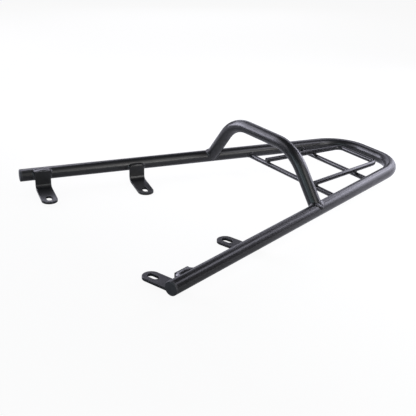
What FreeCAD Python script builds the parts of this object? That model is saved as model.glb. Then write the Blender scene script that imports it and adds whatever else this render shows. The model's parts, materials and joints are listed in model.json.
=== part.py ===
import FreeCAD, Part
import math
import os
import Sketcher

# Welded steel luggage rack with a grab bar.
# Frame: +X to the rack's left (as a rider faces forward), +Y to the rear, +Z up.
# The origin is the middle of the rack's box, on the plane under the lower tabs.

DIMENSIONS = [
    ("tube_dia", 20.0, "outside diameter of the rack tube and the grab bar"),
    ("tube_wall", 1.5, "wall of that tube"),
    ("rail_height", 26.0, "height of the rail axis above the lower tabs' undersides"),
    ("rear_y", 274.6, "rear bar axis, behind the origin"),
    ("rack_run", 557.0, "from the front ends of the rails to the rear bar axis"),
    ("front_half", 222.0, "half the spacing of the rails at their front ends"),
    ("rear_half", 70.0, "half the spacing of the rails where they would meet the rear bar"),
    ("corner_bend", 64.0, "centreline radius of the two rear corners"),
    ("grab_y", 32.0, "plane of the grab bar, behind the origin"),
    ("grab_rise", 78.0, "from the rail axis up to the grab bar's top axis"),
    ("grab_half", 73.5, "half the width of the grab bar's top, corner to corner"),
    ("grab_bend", 75.0, "centreline radius of the grab bar's two bends"),
    ("rod_dia", 8.0, "diameter of the round rod of the deck"),
    ("rod_drop", 4.8, "cross rod axis below the rail axis"),
    ("front_rod_y", 97.0, "front cross rod, behind the origin"),
    ("rear_rod_y", 191.0, "rear cross rod, behind the origin"),
    ("loop_seat", 0.05, "gap between the loop and the rods it lies on"),
    ("loop_rear_y", 244.0, "rear run of the loop, behind the origin"),
    ("loop_run", 151.5, "from the loop's front ends to its rear run"),
    ("loop_front_half", 61.0, "half the spacing of the loop's front ends"),
    ("loop_rear_half", 44.5, "half the width of the loop's rear run, corner to corner"),
    ("loop_bend", 12.0, "centreline radius of the loop's corners"),
    ("strap_width", 25.0, "width of the bracket strap"),
    ("strap_gauge", 4.0, "thickness of the bracket strap"),
    ("strap_bend", 6.0, "inside radius of the strap's bend"),
    ("strap_edge", 0.5, "rounding of the strap's edges"),
    ("tab_length", 63.5, "from the strap's inner face to the end of its tab"),
    ("slot_centre", 47.7, "from the strap's inner face to the middle of the slot"),
    ("slot_length", 18.0, "slot, end to end"),
    ("slot_width", 9.0, "slot, side to side"),
    ("front_station", 34.0, "front brackets, along Y behind the rails' front ends"),
    ("front_top", 8.5, "top edge of the front straps above the rail axis"),
    ("front_drop", 18.4, "top of the front tabs below the rail axis"),
    ("middle_station", 183.7, "middle brackets, along Y behind the rails' front ends"),
    ("middle_top", 0.0, "top edge of the middle straps above the rail axis"),
    ("middle_drop", 22.0, "top of the middle tabs below the rail axis"),
    ("plug_flange", 3.5, "thickness of the plug's head"),
    ("plug_round", 1.4, "rounding of the head's rim"),
    ("plug_stem", 14.0, "length of the plug inside the tube"),
    ("plug_stem_dia", 16.0, "diameter of the plug's stem"),
    ("plug_bore_dia", 12.0, "diameter of the hollow in the stem"),
    ("plug_rib_dia", 16.96, "diameter of the ribs that grip the tube"),
    ("plug_rib_width", 1.2, "width of a rib"),
    ("plug_rib_pitch", 4.0, "spacing of the ribs"),
    ("tube_weld", 3.0, "size of the beads between tubes and at the brackets"),
    ("rod_weld", 2.0, "size of the beads at the rods"),
]

doc = FreeCAD.newDocument("luggage_rack")
sheet = doc.addObject("Spreadsheet::Sheet", "dims")
for row, (alias, value, note) in enumerate(DIMENSIONS, start=1):
    sheet.set(f"A{row}", alias)
    sheet.set(f"B{row}", str(value))
    sheet.set(f"C{row}", note)
    sheet.setAlias(f"B{row}", alias)
doc.recompute()

X_AXIS = FreeCAD.Vector(1, 0, 0)
Z_AXIS = FreeCAD.Vector(0, 0, 1)
SIDES = {"left": 1, "right": -1}
PLUG_RIBS = 3
SHARP_EDGE = 10.0  # degrees between two faces, above which their shared edge is rounded
nodes = []


def size(alias):
    return float(sheet.get(alias))


TAPER = math.degrees(math.atan2(size("front_half") - size("rear_half"), size("rack_run")))
FRONT_Y = size("rear_y") - size("rack_run")


def rail_half(y):
    """Half the spacing of the rail axes at y."""
    return size("rear_half") + (size("rear_y") - y) * math.tan(math.radians(TAPER))


def rail_point(side, y):
    return FreeCAD.Vector(SIDES[side] * rail_half(y), y, size("rail_height"))


def rail_direction(side):
    """Along the rail, towards the rear."""
    angle = math.radians(TAPER)
    return FreeCAD.Vector(-SIDES[side] * math.sin(angle), math.cos(angle), 0)


def add_node(item, label):
    item.Label = label
    nodes.append(item)
    return item


# ---- sketches and bodies ----


def origin_plane(body, role):
    return next(f for f in body.Origin.OriginFeatures if f.Role == role)


def add_sketch(body, name, plane):
    sketch = body.newObject("Sketcher::SketchObject", name)
    sketch.AttachmentSupport = [(origin_plane(body, plane), "")]
    sketch.MapMode = "FlatFace"
    return sketch


def constrain(sketch, kind, *where):
    return sketch.addConstraint(Sketcher.Constraint(kind, *where))


def drive(sketch, formula, kind, *where):
    """A dimension of the sketch that follows the spreadsheet."""
    index = constrain(sketch, kind, *where)
    sketch.setExpression(f"Constraints[{index}]", formula)
    return index


def point(x, y):
    return FreeCAD.Vector(x, y, 0)


def add_line(sketch, start, end):
    return sketch.addGeometry(Part.LineSegment(start, end), False)


def add_arc(sketch, centre, radius, first, last):
    """An arc drawn anticlockwise from angle first to angle last, in degrees."""
    circle = Part.Circle(centre, Z_AXIS, radius)
    arc = Part.ArcOfCircle(circle, math.radians(first), math.radians(last))
    return sketch.addGeometry(arc, False)


def add_circle(sketch, diameter_formula, diameter, x_formula, x, y_formula, y):
    """A circle whose centre is at a driven place; a formula of None keeps it on that axis."""
    circle = sketch.addGeometry(Part.Circle(point(x, y), Z_AXIS, diameter / 2), False)
    drive(sketch, diameter_formula, "Diameter", circle, diameter)
    if x_formula:
        drive(sketch, x_formula, "DistanceX", circle, 3, x)
    else:
        constrain(sketch, "PointOnObject", circle, 3, -2)
    if y_formula:
        drive(sketch, y_formula, "DistanceY", circle, 3, y)
    else:
        constrain(sketch, "PointOnObject", circle, 3, -1)
    return circle


def half_bar_path(body, plane, level, corner, run, end, bend):
    """Half of a bent bar: out along a level run, round one corner, and on to the bar's end.

    level, corner, run, end and bend are pairs of a formula and its value: the height of the level
    run, where its line meets the leg's line, the leg's drop, the end's place and the bend radius.
    """
    sketch = add_sketch(body, "path", plane)
    apex = point(corner[1], level[1])
    foot = point(end[1], level[1] - run[1])
    leg = (foot - apex).normalize()
    turn = math.pi - X_AXIS.negative().getAngle(leg)
    reach = bend[1] * math.tan(turn / 2)
    centre = point(corner[1] - reach, level[1] - bend[1])
    first = 90 - math.degrees(turn)
    top = add_line(sketch, point(0, level[1]), point(corner[1] - reach, level[1]))
    arc = add_arc(sketch, centre, bend[1], first, 90)
    side = add_line(sketch, apex + leg * reach, foot)
    mark = sketch.addGeometry(Part.Point(apex), True)
    constrain(sketch, "PointOnObject", top, 1, -2)
    constrain(sketch, "Horizontal", top)
    constrain(sketch, "Tangent", top, 2, arc, 2)
    constrain(sketch, "Tangent", arc, 1, side, 1)
    constrain(sketch, "PointOnObject", mark, 1, top)
    constrain(sketch, "PointOnObject", mark, 1, side)
    drive(sketch, level[0], "DistanceY", top, 1, level[1])
    drive(sketch, bend[0], "Radius", arc, bend[1])
    drive(sketch, corner[0], "DistanceX", mark, 1, corner[1])
    drive(sketch, end[0], "DistanceX", side, 2, end[1])
    drive(sketch, run[0], "DistanceY", side, 2, top, 1, run[1])
    return sketch


def bent_bar(name, plane, level, corner, run, end, bend, diameter, bore=None):
    """A round bar or tube, bent at two corners and the same on both sides of the middle plane."""
    body = doc.addObject("PartDesign::Body", name)
    path = half_bar_path(body, plane, level, corner, run, end, bend)
    section = add_sketch(body, "section", "YZ_Plane")
    across = (level[0], level[1]) if plane == "XY_Plane" else (None, 0.0)
    upward = (None, 0.0) if plane == "XY_Plane" else (level[0], level[1])
    add_circle(section, *diameter, *across, *upward)
    if bore:
        add_circle(section, *bore, *across, *upward)
    pipe = body.newObject("PartDesign::AdditivePipe", "half")
    pipe.Profile = section
    pipe.Spine = path
    doc.recompute()
    mirror = body.newObject("PartDesign::Mirrored", "whole")
    mirror.Originals = [pipe]
    mirror.MirrorPlane = (origin_plane(body, "YZ_Plane"), [""])
    body.Tip = mirror
    return body


def named(formula):
    """A formula made of one alias, with the value that it has now."""
    return (f"dims.{formula}", size(formula))


def tube_bore():
    return ("dims.tube_dia - 2 * dims.tube_wall", size("tube_dia") - 2 * size("tube_wall"))


def rack_tube(name, bore):
    body = bent_bar(
        name, "XY_Plane", named("rear_y"), named("rear_half"), named("rack_run"),
        named("front_half"), named("corner_bend"), named("tube_dia"), bore,
    )
    body.setExpression("Placement.Base.z", "dims.rail_height")
    return body


def grab_tube(name, bore):
    foot = rail_half(size("grab_y"))
    formula = (
        "dims.rear_half + (dims.rear_y - dims.grab_y)"
        " * (dims.front_half - dims.rear_half) / dims.rack_run"
    )
    body = bent_bar(
        name, "XZ_Plane", named("grab_rise"), named("grab_half"), named("grab_rise"),
        (formula, foot), named("grab_bend"), named("tube_dia"), bore,
    )
    body.setExpression("Placement.Base.y", "dims.grab_y")
    body.setExpression("Placement.Base.z", "dims.rail_height")
    return body


def luggage_loop():
    body = bent_bar(
        "loop", "XY_Plane", named("loop_rear_y"), named("loop_rear_half"), named("loop_run"),
        named("loop_front_half"), named("loop_bend"), named("rod_dia"),
    )
    height = "dims.rail_height - dims.rod_drop + dims.rod_dia + dims.loop_seat"
    body.setExpression("Placement.Base.z", height)
    return body


# ---- plain bars, used whole or as tools ----


def round_bar(name, start, end, radius_formula):
    bar = doc.addObject("Part::Cylinder", name)
    along = end - start
    bar.setExpression("Radius", radius_formula)
    bar.Height = along.Length
    bar.Placement = FreeCAD.Placement(start, FreeCAD.Rotation(Z_AXIS, along))
    return bar


def cut(label, base, tool):
    result = doc.addObject("Part::Cut", label)
    result.Base = base
    result.Tool = tool
    result.Refine = True
    return result


def bead(label, first, second, *solids):
    """A weld bead: what two thickened pieces share, less the pieces themselves."""
    shared = doc.addObject("Part::Common", f"{label}_shared")
    shared.Base = first
    shared.Tool = second
    body = shared
    for solid in solids:
        body = cut(f"{label}_less_{solid.Name}", body, solid)
    return add_node(body, label)


# ---- the pieces ----


def cross_rod(name, y, rack_core):
    """A rod between the rails, its ends shaped to the tubes, and the bar that it is cut from."""
    height = size("rail_height") - size("rod_drop")
    half = rail_half(y)
    start, end = FreeCAD.Vector(-half, y, height), FreeCAD.Vector(half, y, height)
    bar = round_bar(f"{name}_bar", start, end, "dims.rod_dia / 2")
    add_node(cut(name, bar, rack_core), name)
    return bar


def rod_bead(label, side, y, rack_core, bar):
    """The bead where a cross rod meets a rail."""
    inward = FreeCAD.Vector(-SIDES[side], 0, 0)
    end = rail_point(side, y) - Z_AXIS * size("rod_drop")
    reach = 2 * size("tube_dia")
    rod = round_bar(f"{label}_rod", end, end + inward * reach, "dims.rod_dia / 2 + dims.rod_weld")
    middle = rail_point(side, y)
    along = rail_direction(side) * size("tube_dia")
    radius = "dims.tube_dia / 2 + dims.rod_weld"
    rail = round_bar(f"{label}_rail", middle - along, middle + along, radius)
    bead(label, rod, rail, rack_core, bar)


def loop_half(y):
    """Half the spacing of the loop's two legs at y."""
    slope = (size("loop_front_half") - size("loop_rear_half")) / size("loop_run")
    return size("loop_rear_half") + (size("loop_rear_y") - y) * slope


def loop_bead(label, side, y, loop, bar):
    """The bead where a leg of the loop lies across a cross rod."""
    reach = 2 * size("rod_dia")
    rod_height = size("rail_height") - size("rod_drop")
    loop_height = rod_height + size("rod_dia") + size("loop_seat")
    radius = "dims.rod_dia / 2 + dims.rod_weld"
    ends = [
        FreeCAD.Vector(SIDES[side] * loop_half(y + step), y + step, loop_height)
        for step in (-reach, reach)
    ]
    leg = round_bar(f"{label}_leg", *ends, radius)
    x = SIDES[side] * loop_half(y)
    ends = [FreeCAD.Vector(x + step, y, rod_height) for step in (-reach, reach)]
    rod = round_bar(f"{label}_rod", *ends, radius)
    bead(label, leg, rod, loop, bar)


def grab_bead(label, side, rack_core, grab_core):
    """The bead round one foot of the grab bar."""
    y = size("grab_y")
    foot = rail_point(side, y)
    top = FreeCAD.Vector(SIDES[side] * size("grab_half"), y, foot.z + size("grab_rise"))
    up = (top - foot).normalize() * 2 * size("tube_dia")
    radius = "dims.tube_dia / 2 + dims.tube_weld"
    leg = round_bar(f"{label}_leg", foot, foot + up, radius)
    along = rail_direction(side) * 2 * size("tube_dia")
    rail = round_bar(f"{label}_rail", foot - along, foot + along, radius)
    bead(label, leg, rail, rack_core, grab_core)


def strap_profile(body, place):
    """The strap seen along the rail: down the tube's side, round the bend and in along the tab."""
    sketch = add_sketch(body, "profile", "XZ_Plane")
    gauge, bend, top = size("strap_gauge"), size("strap_bend"), size(f"{place}_top")
    outer = size("tube_dia") / 2
    inner = outer + gauge
    end = inner + size("tab_length")
    level = -size(f"{place}_drop")
    centre = point(inner + bend, level + bend)
    back = add_line(sketch, point(outer, top), point(outer, level + bend))
    outer_arc = add_arc(sketch, centre, bend + gauge, 180, 270)
    under = add_line(sketch, point(inner + bend, level - gauge), point(end, level - gauge))
    tip = add_line(sketch, point(end, level - gauge), point(end, level))
    upper = add_line(sketch, point(end, level), point(inner + bend, level))
    inner_arc = add_arc(sketch, centre, bend, 180, 270)
    face = add_line(sketch, point(inner, level + bend), point(inner, top))
    edge = add_line(sketch, point(inner, top), point(outer, top))
    constrain(sketch, "Tangent", back, 2, outer_arc, 1)
    constrain(sketch, "Tangent", outer_arc, 2, under, 1)
    constrain(sketch, "Coincident", under, 2, tip, 1)
    constrain(sketch, "Coincident", tip, 2, upper, 1)
    constrain(sketch, "Tangent", upper, 2, inner_arc, 2)
    constrain(sketch, "Tangent", inner_arc, 1, face, 1)
    constrain(sketch, "Coincident", face, 2, edge, 1)
    constrain(sketch, "Coincident", edge, 2, back, 1)
    constrain(sketch, "Coincident", outer_arc, 3, inner_arc, 3)
    for line in (back, tip, face):
        constrain(sketch, "Vertical", line)
    for line in (under, upper, edge):
        constrain(sketch, "Horizontal", line)
    drive(sketch, "dims.strap_bend", "Radius", inner_arc, bend)
    drive(sketch, "dims.tube_dia / 2", "DistanceX", back, 1, outer)
    drive(sketch, "dims.strap_gauge", "DistanceX", back, 1, face, 2, gauge)
    drive(sketch, f"dims.{place}_drop", "DistanceY", upper, 1, -1, 1, -level)
    height = f"dims.{place}_top + dims.{place}_drop"
    drive(sketch, height, "DistanceY", upper, 1, edge, 1, top - level)
    drive(sketch, "dims.tab_length", "DistanceX", face, 2, tip, 2, end - inner)
    return sketch


def tab_end(body):
    """What is trimmed off to round the tab's end over its whole width."""
    sketch = add_sketch(body, "end", "XY_Plane")
    radius = size("strap_width") / 2
    tip = size("tube_dia") / 2 + size("strap_gauge") + size("tab_length")
    middle = tip - radius
    clear = size("strap_gauge")
    arc = add_arc(sketch, point(middle, 0), radius, -90, 90)
    corners = [
        point(middle, radius), point(middle, radius + clear), point(tip + clear, radius + clear),
        point(tip + clear, -radius - clear), point(middle, -radius - clear), point(middle, -radius),
    ]
    lines = [add_line(sketch, a, b) for a, b in zip(corners, corners[1:])]
    constrain(sketch, "Coincident", arc, 2, lines[0], 1)
    for first, second in zip(lines, lines[1:]):
        constrain(sketch, "Coincident", first, 2, second, 1)
    constrain(sketch, "Coincident", lines[-1], 2, arc, 1)
    for index in (0, 2, 4):
        constrain(sketch, "Vertical", lines[index])
    for index in (1, 3):
        constrain(sketch, "Horizontal", lines[index])
    constrain(sketch, "PointOnObject", arc, 3, -1)
    drive(sketch, "dims.strap_width / 2", "Radius", arc, radius)
    place = "dims.tube_dia / 2 + dims.strap_gauge + dims.tab_length - dims.strap_width / 2"
    drive(sketch, place, "DistanceX", arc, 3, middle)
    width = "dims.strap_width / 2 + dims.strap_gauge"
    drive(sketch, width, "DistanceX", arc, 3, lines[2], 1, radius + clear)
    drive(sketch, "dims.strap_gauge", "DistanceY", lines[0], 1, lines[0], 2, clear)
    drive(sketch, "dims.strap_gauge", "DistanceY", lines[4], 1, lines[4], 2, clear)
    return sketch


def tab_slot(body):
    """The bolt slot, along the tab."""
    sketch = add_sketch(body, "slot", "XY_Plane")
    middle = size("tube_dia") / 2 + size("strap_gauge") + size("slot_centre")
    radius = size("slot_width") / 2
    half = size("slot_length") / 2 - radius
    far = add_arc(sketch, point(middle + half, 0), radius, -90, 90)
    near = add_arc(sketch, point(middle - half, 0), radius, 90, 270)
    upper = add_line(sketch, point(middle + half, radius), point(middle - half, radius))
    lower = add_line(sketch, point(middle - half, -radius), point(middle + half, -radius))
    constrain(sketch, "Tangent", far, 2, upper, 1)
    constrain(sketch, "Tangent", upper, 2, near, 1)
    constrain(sketch, "Tangent", near, 2, lower, 1)
    constrain(sketch, "Tangent", lower, 2, far, 1)
    constrain(sketch, "PointOnObject", far, 3, -1)
    constrain(sketch, "PointOnObject", near, 3, -1)
    drive(sketch, "dims.slot_width / 2", "Radius", far, radius)
    spread = "dims.slot_length - dims.slot_width"
    drive(sketch, spread, "DistanceX", near, 3, far, 3, 2 * half)
    place = (
        "dims.tube_dia / 2 + dims.strap_gauge + dims.slot_centre"
        " + (dims.slot_length - dims.slot_width) / 2"
    )
    drive(sketch, place, "DistanceX", far, 3, middle + half)
    return sketch


def pocket_through(body, name, sketch):
    """Cuts the sketch through the tab, which lies below the sketch's plane."""
    before = body.Tip.Shape.Volume
    pocket = body.newObject("PartDesign::Pocket", name)
    pocket.Profile = sketch
    pocket.Type = "ThroughAll"
    doc.recompute()
    if pocket.Shape.Volume >= before:
        raise RuntimeError(f"{name} of {body.Label} cuts nothing")
    return pocket


def sharp_edges(shape):
    """The names of the edges where two faces meet at an angle, not tangentially."""
    names = []
    for index, edge in enumerate(shape.Edges, start=1):
        first, second = (
            face.normalAt(*face.Surface.parameter(edge.valueAt(edge.FirstParameter)))
            for face in shape.ancestorsOfType(edge, Part.Face)
        )
        if first.getAngle(second) > math.radians(SHARP_EDGE):
            names.append(f"Edge{index}")
    return names


def bracket_place(side, place):
    """On the rail's axis, turned so that the strap's own X axis points inwards from the rail."""
    turn = 180 + TAPER if side == "left" else -TAPER
    middle = rail_point(side, FRONT_Y + size(f"{place}_station"))
    return FreeCAD.Placement(middle, FreeCAD.Rotation(Z_AXIS, turn))


def bracket(label, side, place):
    """A bent strap on the inner side of a rail, with a slotted tab that points inwards."""
    body = doc.addObject("PartDesign::Body", label)
    profile = strap_profile(body, place)
    pad = body.newObject("PartDesign::Pad", "strap")
    pad.Profile = profile
    pad.SideType = "Symmetric"
    pad.setExpression("Length", "dims.strap_width")
    doc.recompute()
    pocket_through(body, "rounded_end", tab_end(body))
    pocket_through(body, "bolt_slot", tab_slot(body))
    slotted = body.Tip
    rounding = body.newObject("PartDesign::Fillet", "edges")
    rounding.Base = (slotted, sharp_edges(slotted.Shape))
    rounding.setExpression("Radius", "dims.strap_edge")
    body.Placement = bracket_place(side, place)
    return add_node(body, label)


def bracket_bead(label, side, place, rack_core, strap):
    """The bead over the strap's top edge and down its two sides, against the rail."""
    weld = size("tube_weld")
    half_width = size("strap_width") / 2 + weld
    box = doc.addObject("Part::Box", f"{label}_box")
    box.setExpression("Width", "dims.strap_width + 2 * dims.tube_weld")
    box.setExpression("Length", "dims.strap_gauge + dims.tube_weld")
    box.setExpression("Height", f"dims.{place}_top + 3 * dims.tube_weld")
    corner = FreeCAD.Vector(size("tube_dia") / 2 - weld, -half_width, -2 * weld)
    strap_place = bracket_place(side, place)
    box.Placement = strap_place.multiply(FreeCAD.Placement(corner, FreeCAD.Rotation()))
    along = rail_direction(side) * 2 * half_width
    radius = "dims.tube_dia / 2 + dims.tube_weld"
    middle = strap_place.Base
    rail = round_bar(f"{label}_rail", middle - along, middle + along, radius)
    bead(label, box, rail, rack_core, strap)


def disc_outline(body, name, diameter, depth):
    """A circle on the plug's axis, at a depth behind its front face."""
    sketch = add_sketch(body, f"{name}_outline", "XZ_Plane")
    add_circle(sketch, *diameter, None, 0.0, None, 0.0)
    sketch.setExpression("AttachmentOffset.Base.z", f"-({depth})")
    return sketch


def disc_pad(body, name, diameter, depth, length):
    """A round pad towards the tube from a depth behind the plug's front face."""
    pad = body.newObject("PartDesign::Pad", name)
    pad.Profile = disc_outline(body, name, diameter, depth)
    pad.Reversed = True
    pad.setExpression("Length", length)
    doc.recompute()
    return pad


def rounded_rim(body, head):
    """Rounds the edge of the head's front face, which lies in the plane Y = 0."""
    front = next(
        f"Edge{index}" for index, edge in enumerate(head.Shape.Edges, start=1)
        if edge.BoundBox.YMax < size("plug_flange") / 2 and edge.Closed
    )
    rim = body.newObject("PartDesign::Fillet", "rim")
    rim.Base = (head, [front])
    rim.setExpression("Radius", "dims.plug_round")
    doc.recompute()


def stem_bore(body):
    """The hollow of the stem, open at its inner end."""
    outline = disc_outline(body, "bore", named("plug_bore_dia"), "dims.plug_flange")
    before = body.Tip.Shape.Volume
    bore = body.newObject("PartDesign::Pocket", "bore")
    bore.Profile = outline
    bore.setExpression("Length", "dims.plug_stem")
    doc.recompute()
    if bore.Shape.Volume >= before:
        raise RuntimeError(f"the bore of {body.Label} cuts nothing")


def end_plug(label, side):
    """A moulded plug that closes the front end of a rail."""
    body = doc.addObject("PartDesign::Body", label)
    head = disc_pad(body, "head", named("tube_dia"), "0 mm", "dims.plug_flange")
    rounded_rim(body, head)
    length = "dims.plug_flange + dims.plug_stem"
    disc_pad(body, "stem", named("plug_stem_dia"), "0 mm", length)
    for rib in range(PLUG_RIBS):
        depth = f"dims.plug_flange + dims.plug_rib_pitch * {rib + 0.5}"
        disc_pad(body, f"rib{rib}", named("plug_rib_dia"), depth, "dims.plug_rib_width")
    stem_bore(body)
    place = rail_point(side, FRONT_Y)
    turn = SIDES[side] * TAPER
    body.Placement = FreeCAD.Placement(place, FreeCAD.Rotation(Z_AXIS, turn))
    return add_node(body, label)


def main_tube():
    """The U-shaped rack tube; each rail's front end is cut back by the plug's head."""
    whole = rack_tube("rack_tube", tube_bore())
    tube = whole
    for side in SIDES:
        front = rail_point(side, FRONT_Y)
        behind = front + rail_direction(side) * size("plug_flange")
        ahead = front - rail_direction(side) * size("plug_flange")
        trim = round_bar(f"front_trim_{side}", ahead, behind, "dims.tube_dia")
        tube = cut(f"main_tube_{side}", tube, trim)
    return add_node(tube, "main_tube")


def build():
    rack_core = rack_tube("rack_core", None)
    grab_core = grab_tube("grab_core", None)
    main_tube()
    add_node(cut("grab_bar", grab_tube("grab_tube", tube_bore()), rack_core), "grab_bar")
    loop = add_node(luggage_loop(), "luggage_loop")
    bars = {
        place: cross_rod(f"{place}_cross_rod", size(f"{place}_rod_y"), rack_core)
        for place in ("front", "rear")
    }
    for side in SIDES:
        end_plug(f"end_plug_{side}", side)
        grab_bead(f"grab_bar_weld_{side}", side, rack_core, grab_core)
        for place, bar in bars.items():
            y = size(f"{place}_rod_y")
            rod_bead(f"{place}_rod_weld_{side}", side, y, rack_core, bar)
            loop_bead(f"loop_{place}_weld_{side}", side, y, loop, bar)
        for place in ("front", "middle"):
            strap = bracket(f"{place}_bracket_{side}", side, place)
            bracket_bead(f"{place}_bracket_weld_{side}", side, place, rack_core, strap)


def check():
    for item in doc.Objects:
        if "Invalid" in item.State or "Error" in item.State:
            raise RuntimeError(f"{item.Label} failed: {item.State}")
    for node in nodes:
        if node.Shape.isNull() or not node.Shape.isValid() or not node.Shape.Solids:
            raise RuntimeError(f"{node.Label} has no valid solid")


def export():
    os.makedirs("parts", exist_ok=True)
    box = FreeCAD.BoundBox()
    for node in nodes:
        node.Shape.exportStep(f"parts/{node.Label}.step")
        box.add(node.Shape.BoundBox)
        print(f"{node.Label}: {len(node.Shape.Solids)} solid, {node.Shape.Volume:.1f} mm3")
    print(f"{len(nodes)} nodes in {box}")


build()
doc.recompute()
check()
export()
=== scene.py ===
import json
import math

import bpy
from mathutils import Matrix, Vector

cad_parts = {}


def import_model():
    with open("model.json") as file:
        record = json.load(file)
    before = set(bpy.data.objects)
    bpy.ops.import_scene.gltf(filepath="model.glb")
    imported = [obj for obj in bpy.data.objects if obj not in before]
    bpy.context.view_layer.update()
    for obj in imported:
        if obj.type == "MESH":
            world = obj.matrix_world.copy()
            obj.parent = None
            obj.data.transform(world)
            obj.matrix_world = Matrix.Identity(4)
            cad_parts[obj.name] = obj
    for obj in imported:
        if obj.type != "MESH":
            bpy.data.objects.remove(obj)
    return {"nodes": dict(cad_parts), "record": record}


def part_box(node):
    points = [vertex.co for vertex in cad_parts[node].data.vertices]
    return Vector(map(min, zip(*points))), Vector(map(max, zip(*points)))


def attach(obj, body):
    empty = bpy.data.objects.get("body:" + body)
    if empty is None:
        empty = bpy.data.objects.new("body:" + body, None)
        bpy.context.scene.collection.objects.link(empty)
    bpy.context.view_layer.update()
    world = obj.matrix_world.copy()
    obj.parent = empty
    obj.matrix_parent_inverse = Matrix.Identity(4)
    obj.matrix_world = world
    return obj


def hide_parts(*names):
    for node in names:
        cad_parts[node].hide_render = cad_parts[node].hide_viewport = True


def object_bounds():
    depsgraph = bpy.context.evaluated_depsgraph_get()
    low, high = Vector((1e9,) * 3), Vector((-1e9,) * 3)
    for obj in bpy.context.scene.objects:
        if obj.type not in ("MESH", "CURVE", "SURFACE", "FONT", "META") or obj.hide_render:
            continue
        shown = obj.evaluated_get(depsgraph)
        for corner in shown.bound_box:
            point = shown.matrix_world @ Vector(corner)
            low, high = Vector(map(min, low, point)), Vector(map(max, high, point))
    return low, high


# A welded steel luggage rack under semi-gloss black powder coat.
# The tubes, rods, straps and plugs are the frame's own; the weld beads are built here.
# Lengths are in metres, in the frame's axes: +X left, +Y rear, +Z up.

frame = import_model()
cad_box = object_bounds()

MM = 0.001
TUBE_RADIUS = 10.0 * MM
ROD_RADIUS = 4.0 * MM
STRAP_GAUGE = 4.0 * MM
STRAP_HALF_WIDTH = 12.5 * MM
GRAB_HALF = 73.5 * MM
LOOP_FRONT_HALF = 61.0 * MM
LOOP_REAR_HALF = 44.5 * MM
SIDES = {"left": 1, "right": -1}
UP = Vector((0, 0, 1))

# ---- where the pieces are, from the frame's boxes ----


def middle(node):
    low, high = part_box(node)
    return (low + high) / 2


def rail_height():
    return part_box("main_tube")[1].z - TUBE_RADIUS


def rod_height(place):
    return middle(f"{place}_cross_rod").z


def mount(name):
    where = next(m for m in frame["record"]["mounts"] if m["name"] == name)
    return Vector(where["pos_m"])


def rail_direction(side):
    """Along the rail, towards the rear, square to the tabs."""
    seat = mount(f"front_tab_seat_{side}")
    hole = slot_centre("front", side)
    inward = hole - seat
    inward.z = 0
    inward.normalize()
    along = Vector((inward.y, -inward.x, 0))
    return along if along.y > 0 else -along


def slot_centre(place, side):
    pattern = next(m for m in frame["record"]["mounts"] if m["name"] == f"{place}_bolt_slots")
    half = pattern["dims"]["spacing_x_mm"] * MM / 2
    centre = Vector(pattern["pos_m"])
    return centre + Vector((SIDES[side] * half, 0, 0))


def rail_point(side, y):
    """The rail's axis at y."""
    along = rail_direction(side)
    plug = middle(f"end_plug_{side}")
    return Vector((plug.x + along.x * (y - plug.y) / along.y, y, rail_height()))


# ---- mesh helpers ----


def new_piece(name, verts, faces):
    mesh = bpy.data.meshes.new(name)
    mesh.from_pydata([tuple(v) for v in verts], [], faces)
    mesh.validate()
    for polygon in mesh.polygons:
        polygon.use_smooth = True
    piece = bpy.data.objects.new(name, mesh)
    bpy.context.scene.collection.objects.link(piece)
    return piece


def swept(name, sections, closed):
    """A closed skin over a row of sections, each a loop of points in the same order."""
    count = len(sections[0])
    verts = [p for section in sections for p in section]
    faces = []
    spans = len(sections) if closed else len(sections) - 1
    for i in range(spans):
        a = i * count
        b = (i + 1) % len(sections) * count
        for j in range(count):
            k = (j + 1) % count
            faces.append((a + j, b + j, b + k, a + k))
    if not closed:
        last = (len(sections) - 1) * count
        faces.append(tuple(range(count)))
        faces.append(tuple(last + j for j in reversed(range(count))))
    return new_piece(name, verts, faces)


def ripple(length, pitch, height):
    """The overlapping ridges that a weld is laid in, at a length along the seam."""
    phase = (length / pitch) % 1.0
    return height * (1 - (2 * phase - 1) ** 2)


def bead_section(first, second, first_in, second_in, corner, out, crown, steps=9):
    """The loop of one section: from foot to foot over the crown, and back inside the metal."""
    chord = (first + second) / 2
    top = chord.lerp(corner, 0.22) + out * crown
    control = top * 2 - chord
    loop = []
    for i in range(steps):
        t = i / (steps - 1)
        a = first.lerp(control, t)
        b = control.lerp(second, t)
        loop.append(a.lerp(b, t))
    loop.append(second_in)
    loop.append(corner - out * 0.9 * MM)
    loop.append(first_in)
    return loop


def onto_cylinder(point, base, axis, radius):
    """The nearest point of a cylinder's surface, and the surface's normal there."""
    along = (point - base).dot(axis)
    centre = base + axis * along
    normal = (point - centre).normalized()
    return centre + normal * radius, normal


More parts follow.
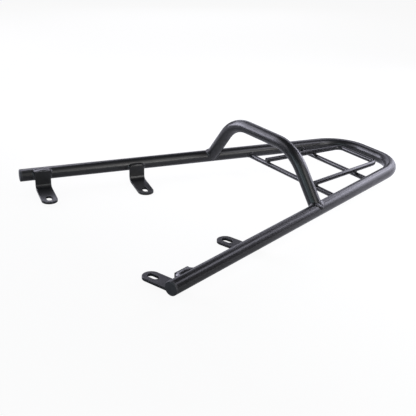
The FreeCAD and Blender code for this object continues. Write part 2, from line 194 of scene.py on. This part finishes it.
def saddle_bead(name, base, axis, radius, rail_base, rail_axis, leg, crown, pitch, height, blob=0.0):
    """The bead round a bar that ends on a rail, swollen on top by blob. The bar runs along axis."""
    side = axis.cross(rail_axis).normalized()
    other = side.cross(axis).normalized()
    steps = max(96, int(2 * math.pi * radius / (0.25 * MM)))
    seam = []
    for i in range(steps):
        angle = 2 * math.pi * i / steps
        start = base + (side * math.cos(angle) + other * math.sin(angle)) * radius
        seam.append(start + axis * reach_to_cylinder(start, axis, rail_base, rail_axis))
    total = sum((seam[i] - seam[i - 1]).length for i in range(steps))
    ridges = max(8, round(total / pitch))
    sections, travelled = [], 0.0
    for i, point in enumerate(seam):
        if i:
            travelled += (point - seam[i - 1]).length
        along = (seam[(i + 1) % steps] - seam[i - 1]).normalized()
        _, bar_normal = onto_cylinder(point, base, axis, radius)
        _, rail_normal = onto_cylinder(point, rail_base, rail_axis, TUBE_RADIUS)
        swell = blob * max(bar_normal.z, 0.0) ** 4
        width = leg + 0.8 * swell
        up_bar = bar_normal.cross(along)
        up_bar = up_bar if up_bar.dot(axis) > 0 else -up_bar
        out_rail = rail_normal.cross(along)
        if out_rail.dot(bar_normal) < 0:
            out_rail = -out_rail
        first, first_normal = onto_cylinder(point + up_bar * width, base, axis, radius)
        second, second_normal = onto_cylinder(
            point + out_rail * width, rail_base, rail_axis, TUBE_RADIUS
        )
        out = (bar_normal + rail_normal).normalized()
        ridge = ripple(travelled, total / ridges, height)
        sections.append(bead_section(
            first - first_normal * 0.05 * MM, second - second_normal * 0.05 * MM,
            first - first_normal * 0.8 * MM - up_bar * 0.8 * MM,
            second - second_normal * 0.8 * MM - out_rail * 0.8 * MM,
            point, out, crown + ridge + swell,
        ))
    return swept(name, sections, True)


def reach_to_cylinder(start, axis, base, along):
    """How far from start, along axis, the rail's surface lies (the farther crossing)."""
    flat_axis = axis - along * axis.dot(along)
    gap = start - base
    flat_gap = gap - along * gap.dot(along)
    a = flat_axis.dot(flat_axis)
    b = 2 * flat_axis.dot(flat_gap)
    c = flat_gap.dot(flat_gap) - TUBE_RADIUS ** 2
    return (-b + math.sqrt(max(b * b - 4 * a * c, 0.0))) / (2 * a)


# ---- the weld beads ----


def grab_bar_beads():
    low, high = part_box("grab_bar")
    y = (low.y + high.y) / 2
    height = high.z - TUBE_RADIUS
    for side, sign in SIDES.items():
        foot = rail_point(side, y)
        corner = Vector((sign * GRAB_HALF, y, height))
        axis = (corner - foot).normalized()
        bead = saddle_bead(
            f"grab_bar_bead_{side}", foot, axis, TUBE_RADIUS, foot, rail_direction(side),
            leg=3.2 * MM, crown=0.35 * MM, pitch=2.4 * MM, height=0.28 * MM,
        )
        finish_bead(bead, f"grab_bar_weld_{side}")


def cross_rod_beads():
    for place in ("front", "rear"):
        y = middle(f"{place}_cross_rod").y
        for side, sign in SIDES.items():
            rail = rail_point(side, y)
            base = Vector((rail.x, y, rod_height(place)))
            bead = saddle_bead(
                f"{place}_rod_bead_{side}", base, Vector((-sign, 0, 0)), ROD_RADIUS,
                rail, rail_direction(side),
                leg=2.1 * MM, crown=0.25 * MM, pitch=1.6 * MM, height=0.2 * MM, blob=1.6 * MM,
            )
            finish_bead(bead, f"{place}_rod_weld_{side}")


def loop_leg(side, y):
    """A point of the loop's leg axis, and the leg's direction."""
    low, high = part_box("luggage_loop")
    front = Vector((SIDES[side] * LOOP_FRONT_HALF, low.y, (low.z + high.z) / 2))
    rear = Vector((SIDES[side] * LOOP_REAR_HALF, high.y - ROD_RADIUS, front.z))
    share = (y - front.y) / (rear.y - front.y)
    return front.lerp(rear, share), (rear - front).normalized()


def crossing_bead(name, centre, upper, upper_axis, lower, lower_axis):
    """The bead in the wedge round the place where one rod lies across another."""
    steps, root, inside = 72, 1.4 * MM, 0.5 * MM
    sections = []
    for i in range(steps):
        angle = 2 * math.pi * i / steps
        spoke = Vector((math.cos(angle), math.sin(angle), 0))
        reach = 3.3 * MM + ripple(angle, math.pi / 8, 0.16 * MM)
        plan = centre + spoke * reach
        first = on_rod(plan, upper, upper_axis, -1)
        second = on_rod(plan, lower, lower_axis, 1)
        corner = centre + spoke * (reach - root)
        corner.z = (first.z + second.z) / 2
        sections.append(bead_section(
            first, second,
            on_rod(plan - spoke * inside, upper, upper_axis, -1) + UP * inside,
            on_rod(plan - spoke * inside, lower, lower_axis, 1) - UP * inside,
            corner, spoke, 0.3 * MM,
        ))
    return swept(name, sections, True)


def on_rod(point, base, axis, sign):
    """The rod's surface above (sign 1) or below (sign -1) its axis, at a place in plan."""
    flat = Vector((point.x - base.x, point.y - base.y, 0))
    across = flat - axis * flat.dot(axis)
    drop = min(across.length, ROD_RADIUS * 0.98)
    rise = math.sqrt(ROD_RADIUS ** 2 - drop ** 2)
    return Vector((point.x, point.y, base.z + sign * rise))


def loop_beads():
    for place in ("front", "rear"):
        y = middle(f"{place}_cross_rod").y
        for side in SIDES:
            upper, axis = loop_leg(side, y)
            lower = Vector((upper.x, y, rod_height(place)))
            centre = (upper + lower) / 2
            bead = crossing_bead(
                f"loop_{place}_bead_{side}", centre, upper, axis, lower, Vector((1, 0, 0))
            )
            finish_bead(bead, f"loop_{place}_weld_{side}")


def bracket_path(top, bottom, corner, step):
    """Up one side of the strap, over its top and down the other.

    Each place is (along, up, outward along, outward up).
    """
    half = STRAP_HALF_WIDTH
    path = []
    rise = top - corner - bottom
    count = max(2, int(rise / step))
    for i in range(count):
        path.append((-half, bottom + rise * i / count, -1.0, 0.0))
    turns = 10
    for i in range(turns):
        angle = math.pi - math.pi / 2 * i / turns
        c, s = math.cos(angle), math.sin(angle)
        path.append((-half + corner + corner * c, top - corner + corner * s, c, s))
    span = 2 * (half - corner)
    count = int(span / step)
    for i in range(count):
        path.append((-half + corner + span * i / count, top, 0.0, 1.0))
    mirrored = [(-a, u, -oa, ou) for a, u, oa, ou in path]
    mirrored.reverse()
    ahead = path + [(half - corner, top, 0.0, 1.0)]
    tail = [p for p in mirrored if p[0] > half - corner + 1e-9]
    return ahead + tail


BRACKET_BEAD_FOOT = -6.0 * MM  # from the rail's axis
BRACKET_BEAD_CORNER = 2.5 * MM
BRACKET_BEAD_STEP = 0.3 * MM
BRACKET_BEAD_LEG = 4.2 * MM
RAIL_REACH = 0.94 * TUBE_RADIUS  # how far up or down the rail's face a bead may go


def bracket_bead(place, side):
    """The bead up, over and down the strap, arched over the strap's top."""
    seat = mount(f"{place}_tab_seat_{side}")
    along = rail_direction(side)
    foot = rail_foot(side, seat)
    inward = (Vector((seat.x, seat.y, 0)) - Vector((foot.x, foot.y, 0))).normalized()
    face = TUBE_RADIUS + STRAP_GAUGE
    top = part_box(f"{place}_bracket_{side}")[1].z - foot.z
    path = bracket_path(top, BRACKET_BEAD_FOOT, BRACKET_BEAD_CORNER, BRACKET_BEAD_STEP)
    sections, travelled, before = [], 0.0, None
    for e, z, oe, oz in path:
        if before is not None:
            travelled += math.hypot(e - before[0], z - before[1])
        before = (e, z)
        ridge = ripple(travelled, 2.2 * MM, 0.22 * MM)
        arch = max(oz, 0.0) * (1 - (e / STRAP_HALF_WIDTH) ** 2)

        def place_at(offset, de, dz):
            return foot + inward * offset + along * de + UP * dz

        far_e, far_z = e + oe * BRACKET_BEAD_LEG, z + oz * BRACKET_BEAD_LEG
        far_z = max(min(far_z, RAIL_REACH), -RAIL_REACH)
        surface = math.sqrt(TUBE_RADIUS ** 2 - far_z ** 2)
        first = place_at(face - 0.4 * MM, e - oe * 0.1 * MM, z - oz * 0.1 * MM)
        second = place_at(surface - 0.05 * MM, far_e, far_z)
        under = math.sqrt(max(TUBE_RADIUS ** 2 - z ** 2, 0.0))
        corner = place_at(under, e, z)
        normal = inward * 0.8 + (along * oe + UP * oz)
        normal.normalize()
        sections.append(bead_section(
            first, second,
            place_at(face - 1.8 * MM, e - oe * 1.2 * MM, z - oz * 1.2 * MM),
            place_at(surface - 0.9 * MM, far_e - oe * 0.6 * MM, far_z - oz * 0.6 * MM),
            corner, normal, (0.1 + 1.5 * arch) * MM + ridge,
        ))
    return swept(f"{place}_bracket_bead_{side}", sections, False)


def rail_foot(side, point):
    """The point of the rail's axis level with a point of its bracket."""
    along = rail_direction(side)
    origin = rail_point(side, 0.0)
    reach = (Vector((point.x, point.y, origin.z)) - origin).dot(along)
    return origin + along * reach


def bracket_beads():
    for place in ("front", "middle"):
        for side in SIDES:
            finish_bead(bracket_bead(place, side), f"{place}_bracket_weld_{side}")


def finish_bead(bead, node):
    bead.data.materials.append(coat_bead)
    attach(bead, "root")
    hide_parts(node)


# ---- materials ----


def node_material(name):
    material = bpy.data.materials.new(name)
    material.use_nodes = True
    nodes = material.node_tree.nodes
    return material, nodes, material.node_tree.links, nodes["Principled BSDF"]


def noise(nodes, links, where, scale, detail, roughness=0.5):
    tex = nodes.new("ShaderNodeTexNoise")
    tex.inputs["Scale"].default_value = scale
    tex.inputs["Detail"].default_value = detail
    tex.inputs["Roughness"].default_value = roughness
    links.new(where, tex.inputs["Vector"])
    return tex.outputs["Fac"]


def ramp(nodes, links, value, low, high, dark, light):
    node = nodes.new("ShaderNodeMapRange")
    node.inputs["From Min"].default_value = low
    node.inputs["From Max"].default_value = high
    node.inputs["To Min"].default_value = dark
    node.inputs["To Max"].default_value = light
    links.new(value, node.inputs["Value"])
    return node.outputs["Result"]


def mixed(nodes, links, factor, first, second):
    mix = nodes.new("ShaderNodeMix")
    mix.data_type = "RGBA"
    links.new(factor, mix.inputs["Factor"])
    mix.inputs["A"].default_value = (*first, 1)
    mix.inputs["B"].default_value = (*second, 1)
    return mix.outputs["Result"]


COAT_DARK = (0.009, 0.009, 0.0095)
COAT_LIGHT = (0.015, 0.015, 0.016)


def powder_coat(name, peel, rough):
    """Semi-gloss powder coat: an orange-peel surface, a little uneven in gloss."""
    material, nodes, links, shader = node_material(name)
    where = nodes.new("ShaderNodeTexCoord").outputs["Object"]
    broad = noise(nodes, links, where, 28.0, 3.0)
    grain = noise(nodes, links, where, 900.0, 2.0)
    orange = noise(nodes, links, where, 380.0, 3.0, 0.6)
    links.new(
        mixed(nodes, links, ramp(nodes, links, grain, 0.3, 0.7, 0, 1), COAT_DARK, COAT_LIGHT),
        shader.inputs["Base Color"],
    )
    links.new(
        ramp(nodes, links, broad, 0.3, 0.7, rough - 0.03, rough + 0.03),
        shader.inputs["Roughness"],
    )
    bump = nodes.new("ShaderNodeBump")
    bump.inputs["Strength"].default_value = peel
    bump.inputs["Distance"].default_value = 0.00012
    links.new(orange, bump.inputs["Height"])
    links.new(bump.outputs["Normal"], shader.inputs["Normal"])
    shader.inputs["IOR"].default_value = 1.5
    return material


def moulded_plastic(name):
    """Satin moulded plastic, finely textured."""
    material, nodes, links, shader = node_material(name)
    where = nodes.new("ShaderNodeTexCoord").outputs["Object"]
    fine = noise(nodes, links, where, 1500.0, 2.0)
    broad = noise(nodes, links, where, 120.0, 2.0)
    links.new(
        mixed(nodes, links, ramp(nodes, links, broad, 0.3, 0.7, 0, 1),
              (0.020, 0.020, 0.023), (0.030, 0.030, 0.034)),
        shader.inputs["Base Color"],
    )
    links.new(ramp(nodes, links, fine, 0.3, 0.7, 0.44, 0.54), shader.inputs["Roughness"])
    bump = nodes.new("ShaderNodeBump")
    bump.inputs["Strength"].default_value = 0.3
    bump.inputs["Distance"].default_value = 0.00005
    links.new(fine, bump.inputs["Height"])
    links.new(bump.outputs["Normal"], shader.inputs["Normal"])
    return material


def assign(node, material):
    piece = frame["nodes"][node]
    for slot in piece.material_slots:
        slot.material = material
    if not piece.material_slots:
        piece.data.materials.append(material)


coat = powder_coat("powder_coat", 0.04, 0.3)
coat_rod = powder_coat("powder_coat_rod", 0.04, 0.19)
coat_bead = powder_coat("powder_coat_bead", 0.06, 0.2)
plastic = moulded_plastic("plug_plastic")

ROUND_RODS = ("front_cross_rod", "rear_cross_rod", "luggage_loop")

for name in frame["nodes"]:
    if name.startswith("end_plug"):
        assign(name, plastic)
    else:
        assign(name, coat_rod if name in ROUND_RODS else coat)

grab_bar_beads()
cross_rod_beads()
loop_beads()
bracket_beads()

# ---- the studio ----


# Soft boxes round the rack: compass bearing from the rear towards the left and height, in degrees,
# what they point at, their distance and size in metres, their brightness and their colour.
FAR = ((0, 0.05, 0.03), 1.5, (0.75, 0.55))
NEAR = ((0, 0.2, 0.03), 0.75, (0.4, 0.3))
CLOSE = ((0.05, 0.2, 0.03), 0.5, (0.28, 0.2))
COOL, PLAIN = (0.86, 0.85, 1.0), (1.0, 0.99, 0.98)
SOFT_BOXES = [
    (-180, 15, FAR, 2.7, (0.72, 0.88, 1.0)),
    (150, 30, FAR, 1.4, (0.75, 0.97, 1.0)),
    (-120, 15, FAR, 8.8, COOL),
    (-60, 15, FAR, 1.4, COOL),
    (90, 15, FAR, 5.0, PLAIN),
    (90, 40, FAR, 2.6, PLAIN),
    (90, 65, FAR, 0.5, PLAIN),
    (-150, 38, NEAR, 1.8, (0.93, 0.9, 1.0)),
    (-118, 32, NEAR, 4.0, COOL),
    (-75, 38, NEAR, 0.4, COOL),
    (-40, 38, NEAR, 2.0, COOL),
    (-10, 12, NEAR, 2.6, COOL),
    (20, 12, NEAR, 2.4, COOL),
    (-14, 34, CLOSE, 5.0, COOL),
    (14, 34, CLOSE, 5.5, COOL),
    (60, 62, CLOSE, 4.0, COOL),
]


def soft_box(bearing, height, place, brightness, colour):
    target, distance, size = place
    bearing, height = math.radians(bearing), math.radians(height)
    away = Vector((
        math.sin(bearing) * math.cos(height), math.cos(bearing) * math.cos(height), math.sin(height)
    ))
    data = bpy.data.lights.new("soft_box", "AREA")
    data.shape = "RECTANGLE"
    data.size, data.size_y = size
    data.energy = math.pi * size[0] * size[1] * brightness
    data.color = colour
    light = bpy.data.objects.new("soft_box", data)
    light.location = Vector(target) + away * distance
    light.rotation_euler = away.to_track_quat("Z", "Y").to_euler()
    light.visible_camera = False
    bpy.context.scene.collection.objects.link(light)


def floor():
    """A white sweep, lit from within for the camera so that it shows hardly any shadow, with painted
    shade: its colour is darker towards the front so that the rack reflects less light from there.
    """
    half, gap = 6.0, 0.5 * MM
    verts = [(-half, -half, 0), (half, -half, 0), (half, half, 0), (-half, half, 0)]
    ground = new_piece("floor", verts, [(0, 1, 2, 3)])
    material, nodes, links, shader = node_material("floor_white_painted_shade")
    where = nodes.new("ShaderNodeTexCoord").outputs["Object"]
    apart = nodes.new("ShaderNodeSeparateXYZ")
    links.new(where, apart.inputs["Vector"])
    # Painted shade: the base colour runs from grey at the front (-Y) to white at the rear, to darken
    # the floor's reflection in the tubes.
    links.new(
        mixed(nodes, links, ramp(nodes, links, apart.outputs["Y"], -0.3, 0.15, 0, 1),
              (0.4, 0.4, 0.4), (0.95, 0.95, 0.95)),
        shader.inputs["Base Color"],
    )
    shader.inputs["Roughness"].default_value = 0.9
    shader.inputs["Specular IOR Level"].default_value = 0.0
    glow = nodes.new("ShaderNodeEmission")
    glow.inputs["Strength"].default_value = 1.06
    path = nodes.new("ShaderNodeLightPath")
    lift = nodes.new("ShaderNodeMixShader")
    links.new(ramp(nodes, links, path.outputs["Is Camera Ray"], 0, 1, 0, 0.88), lift.inputs["Fac"])
    links.new(shader.outputs["BSDF"], lift.inputs[1])
    links.new(glow.outputs["Emission"], lift.inputs[2])
    links.new(lift.outputs["Shader"], nodes["Material Output"].inputs["Surface"])
    ground.data.materials.append(material)
    ground.location.z = cad_box[0].z - gap


def world():
    """White to the eye, and nearly dark otherwise: the soft boxes light the rack."""
    made = bpy.data.worlds.new("studio")
    bpy.context.scene.world = made
    made.use_nodes = True
    nodes, links = made.node_tree.nodes, made.node_tree.links
    backdrop = nodes["Background"]
    backdrop.inputs["Color"].default_value = (1, 1, 1, 1)
    path = nodes.new("ShaderNodeLightPath")
    strength = ramp(nodes, links, path.outputs["Is Camera Ray"], 0, 1, 0.02, 1)
    links.new(strength, backdrop.inputs["Strength"])


def camera():
    """Stands left of the rack's front and above it."""
    data = bpy.data.cameras.new("camera")
    data.sensor_width = 36.0
    data.lens = 77.16
    yaw, pitch, roll = -0.95, 0.41351, 0.02316
    ahead = Vector((
        math.sin(yaw) * math.cos(pitch), math.cos(yaw) * math.cos(pitch), -math.sin(pitch)
    ))
    eye = bpy.data.objects.new("camera", data)
    eye.location = (1.02892, -0.80549, 0.55706)
    turn = ahead.to_track_quat("-Z", "Y").to_matrix().to_4x4()
    eye.rotation_euler = (turn @ Matrix.Rotation(roll, 4, "Z")).to_euler()
    data.clip_start, data.clip_end = 0.01, 100
    bpy.context.scene.collection.objects.link(eye)
    bpy.context.scene.camera = eye


floor()
world()
camera()
for box in SOFT_BOXES:
    soft_box(*box)
bpy.context.scene.view_settings.view_transform = "Standard"
